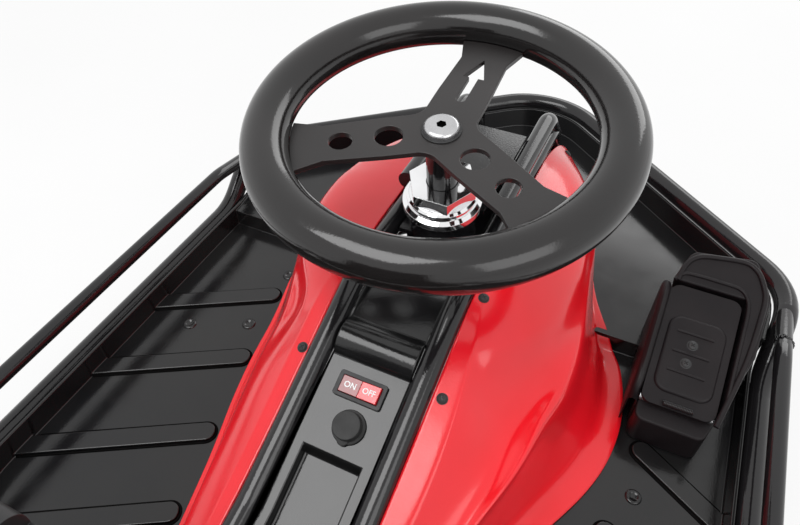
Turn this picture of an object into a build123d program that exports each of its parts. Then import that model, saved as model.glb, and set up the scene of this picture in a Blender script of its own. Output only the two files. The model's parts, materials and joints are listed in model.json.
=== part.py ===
from build123d import *
import math
import os

os.makedirs("parts", exist_ok=True)

# Driving dimensions, in millimetres.
# X is to the driver's right, Y is forwards, Z is up, and the floor is at Z = 0.
hub_y = 79.6                  # steering hub ahead of the origin
hub_z = 275                   # steering hub above the floor
column_tilt = 7.8             # the column's top leans back by this many degrees
running_gap = 0.05            # radial gap of a pin in its bore
seat_gap = 0.3                # gap between pieces that rest on each other

# Perimeter frame
frame_tube_r = 9.5
front_z = 90                  # height of the front of the frame
rail_z = 57.6                 # height of the side rails
tail_z = 128                  # height of the raised tail
corner_x = 273
rail_x = 268
tail_x = 235
nose_vertex = 391             # where the two front tubes would meet, ahead of the hub
tail_back = 505               # rear cross tube behind the hub
bumper_r = 6.35

# Floor pan
pan_rear_z = 46               # floor beside and behind the drive wheel
pan_front_z = 64              # raised floor of the nose
pan_step = 65                 # riser between them, ahead of the hub
pan_sheet = 3
pan_rear_top = 67             # tops of the walls, behind and ahead of the tube's rise
pan_front_top = 87
pan_rise = 95                 # where the wall's top steps up, ahead of the hub
pan_rim_in = 9.9              # wall's outside at its top, in from the middle of the frame tube
pan_foot_in = 10.4            # its outside at the foot
pan_back = 330
well_r = 113
rib_height = 3
rib_half = 8

# Hood, console and the two spine tubes between them
moulding = 3
spine_x = 38
spine_r = 8
console_sheet = 3

# Steering
head_r = 25
head_bottom = -108            # along the column, down from the hub
head_top = -67
steerer_r = 11
crown_bottom = -121
crown_thick = 6
rim_r = 114.5
rim_section_r = 15.5
spoke_plate = 4
rim_rise = 6.4                # rim's middle above the spoke plate's
leg_inside = 25
leg_thick = 5
leg_half = 15

# Drive wheel and motor
drive_r = 75
drive_width = 38
axle_r = 6
motor_r = 28
motor_length = 52
motor_rise = 20

# Casters
kingpin_x = 185
kingpin_back = 440            # kingpin at the deck, behind the hub
kingpin_tilt = 20
caster_r = 45
caster_width = 28
caster_trail = 22
caster_axle_r = 4
kingpin_r = 8
housing_r = 17

# Seat, deck and battery
deck_sheet = 3
seat_half = 145
seat_wall = 4
seat_front = 285              # seat's front edge behind the hub
seat_base_z = 146
battery_width = 180
battery_length = 110
battery_height = 60


def side(direction):
    return "right" if direction > 0 else "left"


def along(distance):
    """A point on the steering column, measured up from the hub."""
    tilt = math.radians(column_tilt)
    return (0, hub_y - distance * math.sin(tilt), hub_z + distance * math.cos(tilt))


column_up = (0, -math.sin(math.radians(column_tilt)), math.cos(math.radians(column_tilt)))
axle_along = -(hub_z - drive_r) / math.cos(math.radians(column_tilt))


def column_plane(distance):
    return Plane(origin=along(distance), x_dir=(1, 0, 0), z_dir=column_up)


def write(solid, name):
    solid.label = name
    export_step(solid, "parts/" + name + ".step")


# Perimeter frame: nose, corners, side rails and raised tail
# columns: x, ahead of the hub, z, bend radius
frame_points = [
    (0, nose_vertex, front_z, 80),
    (corner_x, 161, front_z, 60),
    (corner_x, 122, front_z, 30),
    (rail_x, 72, rail_z, 60),
    (rail_x, -262, rail_z, 60),
    (tail_x, -345, tail_z, 60),
    (tail_x, -tail_back, tail_z, 45),
    (0, -tail_back, tail_z, 0),
]
nose_slope = (nose_vertex - frame_points[1][1]) / corner_x
nose_bend = frame_points[0][3]
nose_tangent = nose_bend * nose_slope
nose_run = nose_tangent * math.cos(math.atan(nose_slope))
nose_apex = nose_vertex - nose_bend * (1 / math.cos(math.atan(nose_slope)) - 1)
frame_start = (nose_run, hub_y + nose_vertex - nose_run * nose_slope, front_z)

with BuildPart() as frame:
    with BuildLine() as frame_path:
        FilletPolyline(
            frame_start,
            *[(x, hub_y + ahead, z) for x, ahead, z, bend in frame_points[1:]],
            radius=[bend for x, ahead, z, bend in frame_points[1:-1]],
        )
    with BuildSketch(Plane(origin=frame_start, z_dir=frame_path.line % 0)):
        Circle(frame_tube_r)
    sweep(path=frame_path.line)
    mirror(about=Plane.YZ)
    nose_centre = (0, hub_y + nose_apex - nose_bend, front_z)
    with BuildSketch(Plane(origin=frame_start, z_dir=frame_path.line % 0)):
        Circle(frame_tube_r)
    revolve(
        axis=Axis(nose_centre, (0, 0, 1)),
        revolution_arc=2 * math.degrees(math.atan(nose_slope)),
    )
write(frame.part, "frame")

# Side bumper tubes, welded on top of the front corners
bumper_x = 267.5
bumper_z = 106.5
# columns: x, ahead of the hub, z, bend radius
bumper_points = [
    (271.5, 124, 93, 0),
    (bumper_x, 66, bumper_z, 60),
    (bumper_x, -275, bumper_z, 60),
    (247, -352, 143, 40),
    (241, -385, 141, 0),
]
for direction in (-1, 1):
    with BuildPart() as bumper:
        with BuildLine() as bumper_path:
            FilletPolyline(
                *[(direction * x, hub_y + ahead, z) for x, ahead, z, bend in bumper_points],
                radius=[bend for x, ahead, z, bend in bumper_points[1:-1]],
            )
        with BuildSketch(Plane(origin=bumper_path.line @ 0, z_dir=bumper_path.line % 0)):
            Circle(bumper_r)
        sweep(path=bumper_path.line)
        add(frame.part, mode=Mode.SUBTRACT)
    write(bumper.part, "side_bumper_" + side(direction))

# Floor pan: a moulded tray hung inside the frame tube
kick_start, kick_end = frame_points[4][1], frame_points[5][1]
kick_share = (kick_start + pan_back + pan_rim_in) / (kick_start - kick_end)
pan_back_x = rail_x - (rail_x - tail_x) * kick_share
pan_kick_bend = 105           # wider than the tube's own bend there, which also climbs
# columns: x, ahead of the hub, corner radius
pan_side = [
    *[(x, ahead, bend) for x, ahead, z, bend in frame_points[1:4]],
    (rail_x, kick_start, pan_kick_bend),
    (pan_back_x, -pan_back - pan_rim_in, 40),
]
pan_corners = [
    (0, nose_vertex, nose_bend),
    *pan_side,
    *[(-x, ahead, bend) for x, ahead, bend in pan_side[::-1]],
]
well_y = hub_y + 27

# columns: inner end x, outer end x, where the rib crosses x = 183 ahead of the hub, side
rib_table = [
    (157, 270, -20, -1),
    (141, 270, -103, -1),
    (124, 270, -187, -1),
    (108, 270, -262, -1),
    (185, 270, -20, 1),
    (173, 270, -103, 1),
    (136, 270, -187, 1),
    (109, 270, -262, 1),
]
rib_angle = 30
rib_x = 183


def pan_outline(inset, height):
    """The pan's outline at one height, in from the middle of the frame tube."""
    with BuildSketch(Plane.XY.offset(height)) as outline:
        with BuildLine():
            FilletPolyline(
                *[(x, hub_y + ahead) for x, ahead, bend in pan_corners],
                radius=[bend for x, ahead, bend in pan_corners],
                close=True,
            )
        make_face()
        offset(amount=-inset, kind=Kind.INTERSECTION)
    return outline.sketch


def floor_under(ahead):
    """Height of the pan's floor below a piece that stands on it."""
    return pan_front_z if ahead > pan_step - 1 else pan_rear_z


def pan_part_ahead(ahead, bottom):
    """A sketch over all of the pan that lies ahead of one place."""
    with BuildSketch(Plane.XY.offset(bottom)) as region:
        with Locations((0, hub_y + ahead + nose_vertex / 2)):
            Rectangle(3 * corner_x, nose_vertex)
    return region.sketch


with BuildPart() as floor_pan:
    loft(
        [
            pan_outline(pan_foot_in, pan_rear_z - pan_sheet).face(),
            pan_outline(pan_rim_in, pan_front_top).face(),
        ],
        ruled=True,
    )
    loft(
        [
            pan_outline(pan_foot_in + pan_sheet, pan_rear_z).face(),
            pan_outline(pan_rim_in + pan_sheet, pan_front_top).face(),
        ],
        ruled=True,
        mode=Mode.SUBTRACT,
    )
    with BuildSketch(Plane.XY.offset(pan_rear_top)):
        with Locations((0, hub_y + pan_rise - nose_vertex)):
            Rectangle(3 * corner_x, 2 * nose_vertex)
    extrude(amount=pan_front_top, mode=Mode.SUBTRACT)
    with BuildSketch(Plane.XY.offset(pan_rear_z - pan_sheet)):
        add(pan_outline(pan_foot_in + pan_sheet / 2, 0))
        add(pan_part_ahead(pan_step, 0), mode=Mode.INTERSECT)
    extrude(amount=pan_front_z - pan_rear_z + pan_sheet)
    extrude(
        pan_part_ahead(pan_step + pan_sheet, pan_rear_z - pan_sheet),
        amount=pan_front_z - pan_rear_z,
        mode=Mode.SUBTRACT,
    )
    with BuildSketch(Plane.XY.offset(pan_rear_z)):
        for inner, outer, ahead, direction in rib_table:
            slope = math.tan(math.radians(rib_angle))
            middle = (inner + outer) / 2
            length = (outer - inner) / math.cos(math.radians(rib_angle))
            with Locations((direction * middle, hub_y + ahead - (middle - rib_x) * slope)):
                SlotOverall(length, 2 * rib_half, rotation=-direction * rib_angle)
        add(pan_outline(pan_foot_in + pan_sheet / 2, 0), mode=Mode.INTERSECT)
    extrude(amount=rib_height)
    with BuildSketch(Plane.XY.offset(pan_rear_z - 2 * pan_sheet)):
        with Locations((0, well_y)):
            Circle(well_r)
    extrude(amount=pan_front_top - pan_rear_z, mode=Mode.SUBTRACT)
write(floor_pan.part, "floor_pan")

# Two spine tubes: up from the pan, over the drive wheel and down towards the seat
# columns: ahead of the hub, z, bend radius
spine_points = [
    (-290, pan_rear_z + seat_gap, 0),
    (-290, 97, 25),
    (-210, 115, 60),
    (-55, 179, 60),
    (196, 178, 30),
    (196, pan_front_z + seat_gap, 0),
]
spine_tubes = {}
for direction in (-1, 1):
    with BuildPart() as spine:
        with BuildLine() as spine_path:
            FilletPolyline(
                *[(direction * spine_x, hub_y + ahead, z) for ahead, z, bend in spine_points],
                radius=[bend for ahead, z, bend in spine_points[1:-1]],
            )
        with BuildSketch(Plane(origin=spine_path.line @ 0, z_dir=spine_path.line % 0)):
            Circle(spine_r)
        sweep(path=spine_path.line)
    spine_tubes[direction] = spine.part
    write(spine.part, "spine_tube_" + side(direction))


def spine_z(ahead):
    """Height of the spine tubes' middle, along their three long runs."""
    run = spine_points[1:5]
    for (back, back_z, _), (front, front_z_here, _) in zip(run, run[1:]):
        if ahead <= front:
            return back_z + (front_z_here - back_z) * (ahead - back) / (front - back)
    return run[-1][1]


# Red hood, one moulding each side of the spine
riser_top = pan_step - 0.4    # hood's foot on the nose floor, just short of the riser
riser_foot = pan_step - 3     # and on the lower floor behind it
# columns: ahead of the hub, inner edge z, then x and z of the strip beside the spine, the dome,
# its lip, the corner below the lip and the outer crest, then x of the wall's foot and the flange
hood_right = [
    (204, 150, 52, 146, 57, 140, 62, 132, 67, 122, 71, 112, 78, 82),
    (150, 178, 53, 174, 66, 171, 80, 160, 88, 146, 94, 134, 102, 106),
    (100, 182, 53, 181, 72, 179, 97, 163, 103, 150, 108, 140, 115, 120),
    (riser_top, 183, 53, 182.5, 75, 180, 103.5, 159.5, 108, 147, 112.3, 138.6, 129, 142),
    (riser_foot, 183, 53, 182.5, 75, 180, 103.5, 159.5, 108, 147, 112.3, 138.6, 133, 148),
    (50, 183, 53, 182.7, 76, 180, 106, 158, 110, 146, 114, 138, 140.6, 159),
    (-10, 183, 54, 182, 78, 177, 106, 160, 115, 143, 124, 135, 151.6, 172.5),
    (-40, 181, 54, 180, 74, 175, 97, 163, 108, 140, 125, 134, 149.7, 170.6),
    (-62, 177, 57, 176, 68, 172, 81, 166, 99, 130, 123, 132, 143.8, 165.5),
    (-80, 170, 60, 169, 65, 167, 70, 164, 96, 125, 118, 131, 137, 159),
    (-95, 163, 62, 162, 70, 152, 80, 137, 97, 122, 116, 129, 130, 152.4),
    (-130, 149, 65, 147, 76, 138, 88, 127, 100, 120, 112, 127, 115, 134.6),
    (-170, 132, 65, 130, 73, 122, 82, 114, 90, 110, 96, 114, 98, 110.8),
    (-300, 95, 56, 92, 59, 89, 62, 86.5, 65, 84.3, 67, 83, 69, 73),
]
hood_left = [
    (204, 150, 52, 146, 57, 140, 62, 132, 67, 122, 71, 112, 76, 80),
    (150, 178, 53, 174, 68, 171, 84, 160, 90, 146, 97, 134, 106, 110),
    (100, 182, 53, 181, 74, 179, 103, 168, 108, 152, 116, 138, 132, 136),
    (riser_top, 183, 53, 182.5, 78.3, 180.5, 109.5, 170, 115.2, 152, 123.2, 138, 140.6, 144.6),
    (riser_foot, 183, 53, 182.5, 78.3, 180.5, 109.5, 170, 115.2, 152, 123.2, 138, 151, 155),
    (50, 183, 53, 182.7, 80, 181, 112, 171, 118, 152, 126, 138, 158.6, 162.6),
    (-10, 183, 54, 182, 78, 179, 108, 168, 113, 148, 119, 136, 147.3, 151.3),
    (-40, 181, 54, 180, 74, 175, 97, 161, 102, 148, 106, 140, 140.3, 144.3),
    (-62, 177, 56, 176, 64, 173, 78, 163, 86, 143, 97, 135, 137.2, 141.2),
    (-80, 170, 58, 168, 64, 163, 70, 157, 78, 140, 95, 127, 134.2, 138.2),
    (-95, 163, 58, 162, 66, 153, 74, 145, 83, 134, 95, 123, 131.3, 135.3),
    (-130, 149, 58, 147, 66, 141, 76, 133, 86, 124, 93, 114, 122.9, 126.9),
    (-170, 132, 57, 130, 64, 125, 72, 119, 80, 112, 86, 106, 109.8, 113.8),
    (-300, 95, 54, 92, 57, 90, 60, 87.5, 63, 84.5, 66, 82, 78.9, 82.9),
]
hood_inner_x = spine_x + spine_r + seat_gap


def hood_section(direction, station):
    """One cross-section of a hood: its outer skin, then back along the inner skin."""
    ahead, inner_z, *skin, wall, flange = station
    outer = [(hood_inner_x, inner_z), *zip(skin[::2], skin[1::2])]
    inner = [(x - moulding, z - moulding) for x, z in outer[:0:-1]]
    foot_z = floor_under(ahead) + seat_gap
    foot = [
        (wall, foot_z + moulding),
        (flange, foot_z + moulding),
        (flange, foot_z),
        (wall - moulding, foot_z),
    ]
    outline = [*outer, *foot, *inner, (hood_inner_x, inner_z - moulding)]
    with BuildSketch(Plane.XZ.offset(-hub_y - ahead)) as section:
        with BuildLine():
            Polyline(*[(direction * x, z) for x, z in outline], close=True)
        make_face()
    return section.sketch.face()


for direction, stations in ((-1, hood_left), (1, hood_right)):
    with BuildPart() as hood:
        loft([hood_section(direction, station) for station in stations], ruled=True)
    write(hood.part, "hood_" + side(direction))

# Console: a moulded panel between the spine tubes, with a ridge and a pocket
console_half = spine_x - spine_r - seat_gap
console_drop = 1              # panel below the middle of the spine tubes
ridge_front = -84
ridge_back = -110
ridge_rise = 8
pocket_front = -168
pocket_back = -275
pocket_half = 21
pocket_depth = 10
console_front = (-28, 172)
console_brow = (-62, 169)
console_back = -282


def panel_z(ahead):
    return spine_z(ahead) - console_drop


def console_top(drop):
    """The panel's side outline, lowered by a sheet's thickness for its underside."""
    return [
        (hub_y + ahead, z - drop)
        for ahead, z in (
            console_front,
            console_brow,
            (ridge_front, panel_z(ridge_front)),
            (spine_points[2][0], panel_z(spine_points[2][0])),
            (console_back, panel_z(console_back)),
        )
    ]


def slope_point(ahead, rise):
    return (hub_y + ahead, panel_z(ahead) + rise)


with BuildPart() as console:
    with BuildSketch(Plane.YZ.offset(-console_half)):
        with BuildLine():
            Polyline(*console_top(0), *console_top(console_sheet)[::-1], close=True)
        make_face()
        with BuildLine():
            ridge_middle = (ridge_front + ridge_back) / 2
            ThreePointArc(
                slope_point(ridge_front, 0),
                slope_point(ridge_middle, ridge_rise),
                slope_point(ridge_back, 0),
            )
            Polyline(
                slope_point(ridge_back, 0),
                slope_point(ridge_back, -console_sheet),
                slope_point(ridge_front, -console_sheet),
                slope_point(ridge_front, 0),
            )
        make_face()
    extrude(amount=2 * console_half)
    tray_half = pocket_half + console_sheet
    tray_depth = pocket_depth + console_sheet
    with BuildSketch(Plane.YZ.offset(-tray_half)):
        with BuildLine():
            Polyline(
                slope_point(pocket_front + console_sheet, -console_sheet),
                slope_point(spine_points[2][0], -console_sheet),
                slope_point(pocket_back - console_sheet, -console_sheet),
                slope_point(pocket_back - console_sheet, -tray_depth),
                slope_point(spine_points[2][0], -tray_depth),
                slope_point(pocket_front + console_sheet, -tray_depth),
                close=True,
            )
        make_face()
    extrude(amount=2 * tray_half)
    with BuildSketch(Plane.YZ.offset(-pocket_half)):
        with BuildLine():
            Polyline(
                slope_point(pocket_front, 1),
                slope_point(spine_points[2][0], 1),
                slope_point(pocket_back, 1),
                slope_point(pocket_back, -pocket_depth),
                slope_point(spine_points[2][0], -pocket_depth),
                slope_point(pocket_front, -pocket_depth),
                close=True,
            )
        make_face()
    extrude(amount=2 * pocket_half, mode=Mode.SUBTRACT)
write(console.part, "console")

# Steering head: a tube held by a lower plate between the spine tubes and, at its top, by an
# upper plate between two hoops that bend down on to the spine tubes
gusset_sheet = 4
gusset_half = spine_x - spine_r - seat_gap
gusset_back = 17              # lower plate's back edge behind the head tube's middle
gusset_front = 118            # front edge of both plates ahead of the hub
head_collar_r = 28
head_collar = 8
hoop_r = 7.5
hoop_z = 201
# columns: ahead of the hub, z
hoop_points = [(30, hoop_z), (159, hoop_z), (196, 164)]
hoop_bend_r = 21
plate_z = hoop_z + 2
plate_half = spine_x - hoop_r - seat_gap
head_y = along(head_bottom)[1]
with BuildPart() as head_tube:
    with BuildSketch(column_plane(head_bottom)):
        Circle(head_r)
    extrude(amount=head_top - head_bottom)
    with BuildSketch(column_plane(head_bottom)):
        Circle(head_collar_r)
    extrude(amount=head_collar)
    for back, half, height in (
        (head_y - gusset_back, gusset_half, spine_points[-2][1]),
        (head_y, plate_half, plate_z),
    ):
        front = hub_y + gusset_front
        with BuildSketch(Plane.XY.offset(height)):
            with BuildLine():
                Polyline((-half, back), (half, back), (half, front), (-half, front), close=True)
            make_face()
        extrude(amount=gusset_sheet)
    with BuildSketch(column_plane(head_bottom)):
        Circle(steerer_r + running_gap)
    extrude(amount=head_top - head_bottom, mode=Mode.SUBTRACT)
write(head_tube.part, "head_tube")

for direction in (-1, 1):
    with BuildPart() as hoop:
        with BuildLine() as hoop_path:
            FilletPolyline(
                *[(direction * spine_x, hub_y + ahead, z) for ahead, z in hoop_points],
                radius=hoop_bend_r,
            )
        with BuildSketch(Plane(origin=hoop_path.line @ 0, z_dir=hoop_path.line % 0)):
            Circle(hoop_r)
        sweep(path=hoop_path.line)
        add(spine_tubes[direction], mode=Mode.SUBTRACT)
    coped = hoop.part.solids().sort_by(Axis.Z)[-1]
    write(coped, "head_hoop_" + side(direction))

# Steering column: steerer, crown and two legs turned as one welded fork
crown_half_x = leg_inside + leg_thick
crown_half_y = 22
with BuildPart() as fork:
    with BuildSketch(column_plane(crown_bottom)):
        RectangleRounded(2 * crown_half_x, 2 * crown_half_y, 6)
    extrude(amount=crown_thick)
    with BuildSketch(column_plane(crown_bottom)):
        Circle(steerer_r)
    extrude(amount=-crown_bottom - spoke_plate / 2 - seat_gap)
    for direction in (-1, 1):
        leg_plane = Plane(
            origin=column_plane(axle_along).from_local_coords(Vector(direction * leg_inside, 0, 0)),
            x_dir=(0, math.cos(math.radians(column_tilt)), math.sin(math.radians(column_tilt))),
            z_dir=(1, 0, 0),
        )
        leg_height = crown_bottom + crown_thick - axle_along
        with BuildSketch(leg_plane):
            Circle(leg_half)
            with Locations((0, leg_height / 2)):
                Rectangle(2 * leg_half, leg_height)
            Circle(axle_r + seat_gap, mode=Mode.SUBTRACT)
        extrude(amount=direction * leg_thick)
write(fork.part, "fork")

# Chromed head nut: flange, stepped rings and a hexagon
flange_r = 29
nut_across = 44
nut_bottom = head_top + 1
# columns: radius, up from the nut's underside
nut_profile = [
    (flange_r, 0),
    (flange_r, 5),
    (26, 7),
    (26, 11),
    (24, 12.5),
]
nut_rings_top = nut_profile[-1][1]
nut_hex_top = 22
with BuildPart() as head_nut:
    with BuildSketch(column_plane(nut_bottom).rotated((90, 0, 0))):
        with BuildLine():
            Polyline(
                (steerer_r + seat_gap, 0),
                *nut_profile,
                (steerer_r + seat_gap, nut_rings_top),
                close=True,
            )
        make_face()
    revolve(axis=Axis(along(nut_bottom), column_up))
    with BuildSketch(column_plane(nut_bottom + nut_rings_top)):
        RegularPolygon(nut_across / 2, 6, major_radius=False)
        Circle(steerer_r + seat_gap, mode=Mode.SUBTRACT)
    extrude(amount=nut_hex_top - nut_rings_top)
write(head_nut.part, "head_nut")

# Steering wheel: rim, three-spoke plate and centre bolt
with BuildPart() as steering_rim:
    with BuildSketch(column_plane(0).rotated((90, 0, 0))):
        with Locations((rim_r, rim_rise)):
            Circle(rim_section_r)
    revolve(axis=Axis(along(0), column_up))
write(steering_rim.part, "steering_rim")

spoke_root_half = 18.5
spoke_waist_half = 17
spoke_waist_r = 78
spoke_end_half = 24
rim_half_at_plate = math.sqrt(rim_section_r**2 - (rim_rise - spoke_plate / 2) ** 2)
spoke_end_r = rim_r - rim_half_at_plate - seat_gap
plate_web_fillet = 14
small_hole_r = 8
small_hole_at = 66
big_hole_r = 9.5
big_hole_at = 34.5
arrow_tail = 34
arrow_neck = 58
arrow_tip = 79
arrow_half = 3.2
arrow_head_half = 7.5
bolt_r = 4
with BuildPart() as steering_plate:
    with BuildSketch(column_plane(-spoke_plate / 2)) as plate_sketch:
        for turn in (0, 120, 240):
            with BuildLine(Plane.XY.rotated((0, 0, turn))):
                half = [
                    (spoke_root_half, 0),
                    (spoke_root_half, 38),
                    (spoke_waist_half, spoke_waist_r),
                    (spoke_end_half, spoke_end_r + 1),
                ]
                Polyline(*half, *[(-x, y) for x, y in half[::-1]], close=True)
            make_face()
        Circle(spoke_end_r, mode=Mode.INTERSECT)
        fillet(
            plate_sketch.vertices().filter_by(
                lambda v: 15 < (v.center() - Vector(0, 0, 0)).length < 30
            ),
            plate_web_fillet,
        )
        Circle(bolt_r + seat_gap, mode=Mode.SUBTRACT)
        with PolarLocations(small_hole_at, 2, start_angle=210, angular_range=240):
            Circle(small_hole_r, mode=Mode.SUBTRACT)
        with PolarLocations(big_hole_at, 2, start_angle=210, angular_range=240):
            Circle(big_hole_r, mode=Mode.SUBTRACT)
    extrude(amount=spoke_plate)
    with BuildSketch(column_plane(-spoke_plate / 2)):
        with BuildLine():
            Polyline(
                (-arrow_half, arrow_tail),
                (-arrow_half, arrow_neck),
                (-arrow_head_half, arrow_neck),
                (0, arrow_tip),
                (arrow_head_half, arrow_neck),
                (arrow_half, arrow_neck),
                (arrow_half, arrow_tail),
            )
            ThreePointArc(
                (arrow_half, arrow_tail), (0, arrow_tail - arrow_half), (-arrow_half, arrow_tail)
            )
        make_face()
    extrude(amount=spoke_plate, mode=Mode.SUBTRACT)
write(steering_plate.part, "steering_plate")

bolt_head_r = 12
bolt_head_rise = 5
bolt_socket_r = 3.5
bolt_socket_depth = 3
bolt_edge = 3
with BuildPart() as steering_bolt:
    with BuildSketch(column_plane(spoke_plate / 2)):
        Circle(bolt_head_r)
    extrude(amount=bolt_head_rise)
    fillet(steering_bolt.edges().sort_by(Axis(along(0), column_up))[-1], bolt_edge)
    with BuildSketch(column_plane(spoke_plate / 2 + bolt_head_rise - bolt_socket_depth)):
        RegularPolygon(bolt_socket_r, 6)
    extrude(amount=bolt_head_rise, mode=Mode.SUBTRACT)
write(steering_bolt.part, "steering_bolt")

# Drive wheel: tyre on a hub with round windows, and its axle
axle_y, axle_z = along(axle_along)[1], along(axle_along)[2]
tyre_shoulder = 8
tyre_bead_r = 56
hub_width = 32
hub_wall = 5
hub_web = 6
hub_boss_r = 14
hub_boss_half = leg_inside - 1
window_at = 33
window_r = 9
window_count = 5


def cross_plane(x):
    """A plane square to the drive axle."""
    return Plane(origin=(x, axle_y, axle_z), z_dir=(1, 0, 0))


with BuildPart() as drive_tyre:
    with BuildSketch(Plane(origin=(0, axle_y, axle_z), x_dir=(0, 0, 1), z_dir=(0, 1, 0))):
        with BuildLine():
            half_width = drive_width / 2
            Polyline(
                (tyre_bead_r, -half_width + 2),
                (drive_r - tyre_shoulder, -half_width),
                (drive_r, -half_width + tyre_shoulder),
                (drive_r, half_width - tyre_shoulder),
                (drive_r - tyre_shoulder, half_width),
                (tyre_bead_r, half_width - 2),
                close=True,
            )
        make_face()
    revolve(axis=Axis((0, axle_y, axle_z), (1, 0, 0)))
write(drive_tyre.part, "drive_tyre")

with BuildPart() as drive_hub:
    with BuildSketch(cross_plane(-hub_width / 2)):
        Circle(tyre_bead_r)
        Circle(tyre_bead_r - hub_wall, mode=Mode.SUBTRACT)
    extrude(amount=hub_width)
    with BuildSketch(cross_plane(-hub_web / 2)):
        Circle(tyre_bead_r - hub_wall)
        with PolarLocations(window_at, window_count):
            Circle(window_r, mode=Mode.SUBTRACT)
    extrude(amount=hub_web)
    with BuildSketch(cross_plane(-hub_boss_half)):
        Circle(hub_boss_r)
    extrude(amount=2 * hub_boss_half)
    with BuildSketch(cross_plane(-hub_boss_half)):
        Circle(axle_r + running_gap)
    extrude(amount=2 * hub_boss_half, mode=Mode.SUBTRACT)
write(drive_hub.part, "drive_hub")

nut_thick = 5
nut_r = 9
axle_reach = leg_inside + leg_thick + seat_gap
with BuildPart() as drive_axle:
    with BuildSketch(cross_plane(-axle_reach)):
        Circle(axle_r)
    extrude(amount=2 * axle_reach)
    for direction in (-1, 1):
        with BuildSketch(cross_plane(direction * axle_reach)):
            RegularPolygon(nut_r, 6)
        extrude(amount=direction * nut_thick)
write(drive_axle.part, "drive_axle")

# Motor on the right leg, outside its chain guard
guard_thick = 9
guard_inside = axle_reach + nut_thick + 1
guard_wheel_r = 30
guard_pinion_r = 20
guard_stud_r = 9              # stud that holds the guard on the leg
motor_edge = 3
motor_z = axle_z + motor_rise
motor_plane_x = guard_inside + guard_thick + seat_gap
with BuildPart() as chain_guard:
    with BuildSketch(Plane(origin=(leg_inside + leg_thick + seat_gap, axle_y, motor_z), z_dir=(1, 0, 0))):
        Circle(guard_stud_r)
    extrude(amount=guard_inside - leg_inside - leg_thick - seat_gap)
    with BuildSketch(cross_plane(guard_inside)):
        Circle(guard_wheel_r)
        with Locations((0, motor_rise)):
            Circle(guard_pinion_r)
    extrude(amount=guard_thick)
write(chain_guard.part, "chain_guard")

with BuildPart() as motor:
    with BuildSketch(Plane(origin=(motor_plane_x, axle_y, motor_z), z_dir=(1, 0, 0))):
        Circle(motor_r)
    extrude(amount=motor_length)
    chamfer(motor.faces().sort_by(Axis.X)[-1].edges(), motor_edge)
write(motor.part, "motor")

# Deck plate under the raised tail, with a flange turned down behind the pan and
# a raised land each side of the seat that a rack sits on
deck_top = tail_z - frame_tube_r - seat_gap
deck_front = 348
deck_flange_foot = pan_rear_top + 7
deck_flange_lean = 10
deck_half = tail_x - 12
deck_corner = 20
land_rise = 1.5
land_corner = 8
land_edge = 9                 # land clear of the seat's side and the deck's edge
land_length = 80
land_behind = deck_front + 52
land_width = deck_half - seat_half - 2 * land_edge
land_x = (deck_half + seat_half) / 2
with BuildPart() as deck:
    with BuildSketch(Plane.YZ.offset(-deck_half)):
        with BuildLine():
            Polyline(
                (hub_y - tail_back, deck_top - deck_sheet),
                (hub_y - tail_back, deck_top),
                (hub_y - deck_front, deck_top),
                (hub_y - deck_front + deck_flange_lean, deck_flange_foot),
                (hub_y - deck_front + deck_flange_lean - deck_sheet, deck_flange_foot),
                (hub_y - deck_front - deck_sheet, deck_top - deck_sheet),
                close=True,
            )
        make_face()
    extrude(amount=2 * deck_half)
    fillet(deck.edges().filter_by(Axis.Z).group_by(Axis.Y)[0], deck_corner)
    with BuildSketch(Plane.XY.offset(deck_top)):
        with Locations((-land_x, hub_y - land_behind), (land_x, hub_y - land_behind)):
            RectangleRounded(land_width, land_length, land_corner)
    extrude(amount=land_rise)
write(deck.part, "deck")

# Casters: a tilted housing under the deck, a swivelling fork and a small wheel
tilt = math.radians(kingpin_tilt)
kingpin_up = (0, math.sin(tilt), math.cos(tilt))
caster_foot_z = caster_r - caster_trail * math.sin(tilt)
caster_foot_y = hub_y - kingpin_back - (deck_top - caster_foot_z) * math.tan(tilt)
caster_leg = 3.5
caster_leg_inside = caster_width / 2 + 1.5
caster_crown_bottom = caster_r + 6
caster_crown = 4
housing_bottom = caster_crown_bottom + caster_crown + 1
stem_gap = 4                  # kingpin's top below the deck
kingpin_length = (deck_top - deck_sheet - caster_foot_z) / math.cos(tilt)
stem_top = kingpin_length - kingpin_r * math.tan(tilt) - stem_gap
caster_eye_r = 11
caster_rim_r = 30
caster_crown_length = 34
caster_crown_back = 6         # crown's middle behind the kingpin
caster_crown_corner = 5
housing_length = 60           # before it is cut level with the deck
caster_nut_r = 7
caster_nut = 4


def caster_plane(direction, height):
    """Square to one kingpin, with local Y forwards and down."""
    return Plane(
        origin=(
            direction * kingpin_x,
            caster_foot_y + height * math.sin(tilt),
            caster_foot_z + height * math.cos(tilt),
        ),
        x_dir=(1, 0, 0),
        z_dir=kingpin_up,
    )


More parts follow.
